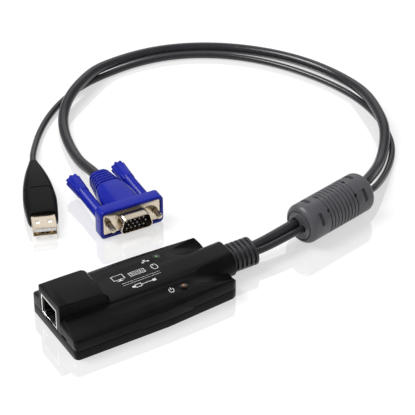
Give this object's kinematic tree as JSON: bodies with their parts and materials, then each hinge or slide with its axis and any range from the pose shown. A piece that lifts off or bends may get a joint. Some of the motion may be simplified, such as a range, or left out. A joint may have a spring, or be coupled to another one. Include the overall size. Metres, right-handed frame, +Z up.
{
  "type": "kvm adapter cable",
  "caption": "Flat arched adapter housing with a network socket, and two cords through a ferrite sleeve to a video plug with thumbscrews and an A-type plug.",
  "frame": {"origin": "on the table, under the middle of the housing with its neck, cords and what is on them left out", "axes": "+X from the network socket towards the cords, +Y towards the side where the cords loop round, +Z up"},
  "size_m": [0.2371, 0.2152, 0.0206],
  "materials": {
    "housing": "fine-textured black moulding",
    "screws": "nickel-plated steel",
    "board": "green solder mask",
    "chips": "moulded epoxy",
    "bare_metal": "plain can",
    "shield": "tin-plated sheet",
    "insulators": "moulded nylon",
    "white_nylon": "moulded nylon",
    "contacts": "gold-plated",
    "green_led": "tinted epoxy lens",
    "amber_led": "tinted epoxy lens",
    "green_lens": "tinted clear light pipe",
    "amber_lens": "tinted clear light pipe",
    "headers": "moulded nylon",
    "red_wire": "insulated wire",
    "white_wire": "insulated wire",
    "relief_rubber": "soft satin moulding",
    "cord_jacket": "satin cable jacket",
    "sleeve_plastic": "satin moulded sleeve",
    "ferrite": "sintered dark grey core",
    "blue_moulding": "semi-gloss saturated blue moulding",
    "plated_shell": "bright nickel plating",
    "blue_grips": "semi-gloss saturated blue moulding",
    "usb_moulding": "fine-textured black moulding"
  },
  "bodies": {
    "root": {"bottom_cover": "housing", "top_cover": "housing", "cover_screws": "screws", "circuit_board": "board", "controller_chip": "chips", "video_chip": "chips", "crystal": "bare_metal", "capacitors": "bare_metal", "jack_shield": "shield", "jack_insert": "insulators", "jack_contacts": "contacts", "online_led": "green_led", "power_led": "amber_led", "online_light_pipe": "green_lens", "power_light_pipe": "amber_lens", "video_header": "headers", "usb_header": "headers", "video_wires": "red_wire", "usb_wires": "white_wire", "strain_relief": "relief_rubber", "video_cord": "cord_jacket", "usb_cord": "cord_jacket", "ferrite_sleeve": "sleeve_plastic", "ferrite_core": "ferrite", "video_hood": "blue_moulding", "video_shell": "plated_shell", "video_insulator": "insulators", "video_pins": "bare_metal", "usb_overmould": "usb_moulding", "usb_shell": "plated_shell", "usb_tongue": "white_nylon", "usb_contacts": "contacts"},
    "left_thumbscrew": {"left_thumb_grip": "blue_grips", "left_jackscrew": "screws"},
    "right_thumbscrew": {"right_thumb_grip": "blue_grips", "right_jackscrew": "screws"}
  },
  "joints": [
    {"name": "left_thumbscrew_spin", "type": "hinge", "parent": "root", "child": "left_thumbscrew", "pos_m": [0.01132, 0.05285, 0.0079], "axis": [-0.0523, -0.9986, 0], "continuous": true},
    {"name": "right_thumbscrew_spin", "type": "hinge", "parent": "root", "child": "right_thumbscrew", "pos_m": [0.03628, 0.05155, 0.0079], "axis": [-0.0523, -0.9986, 0], "continuous": true}
  ]
}
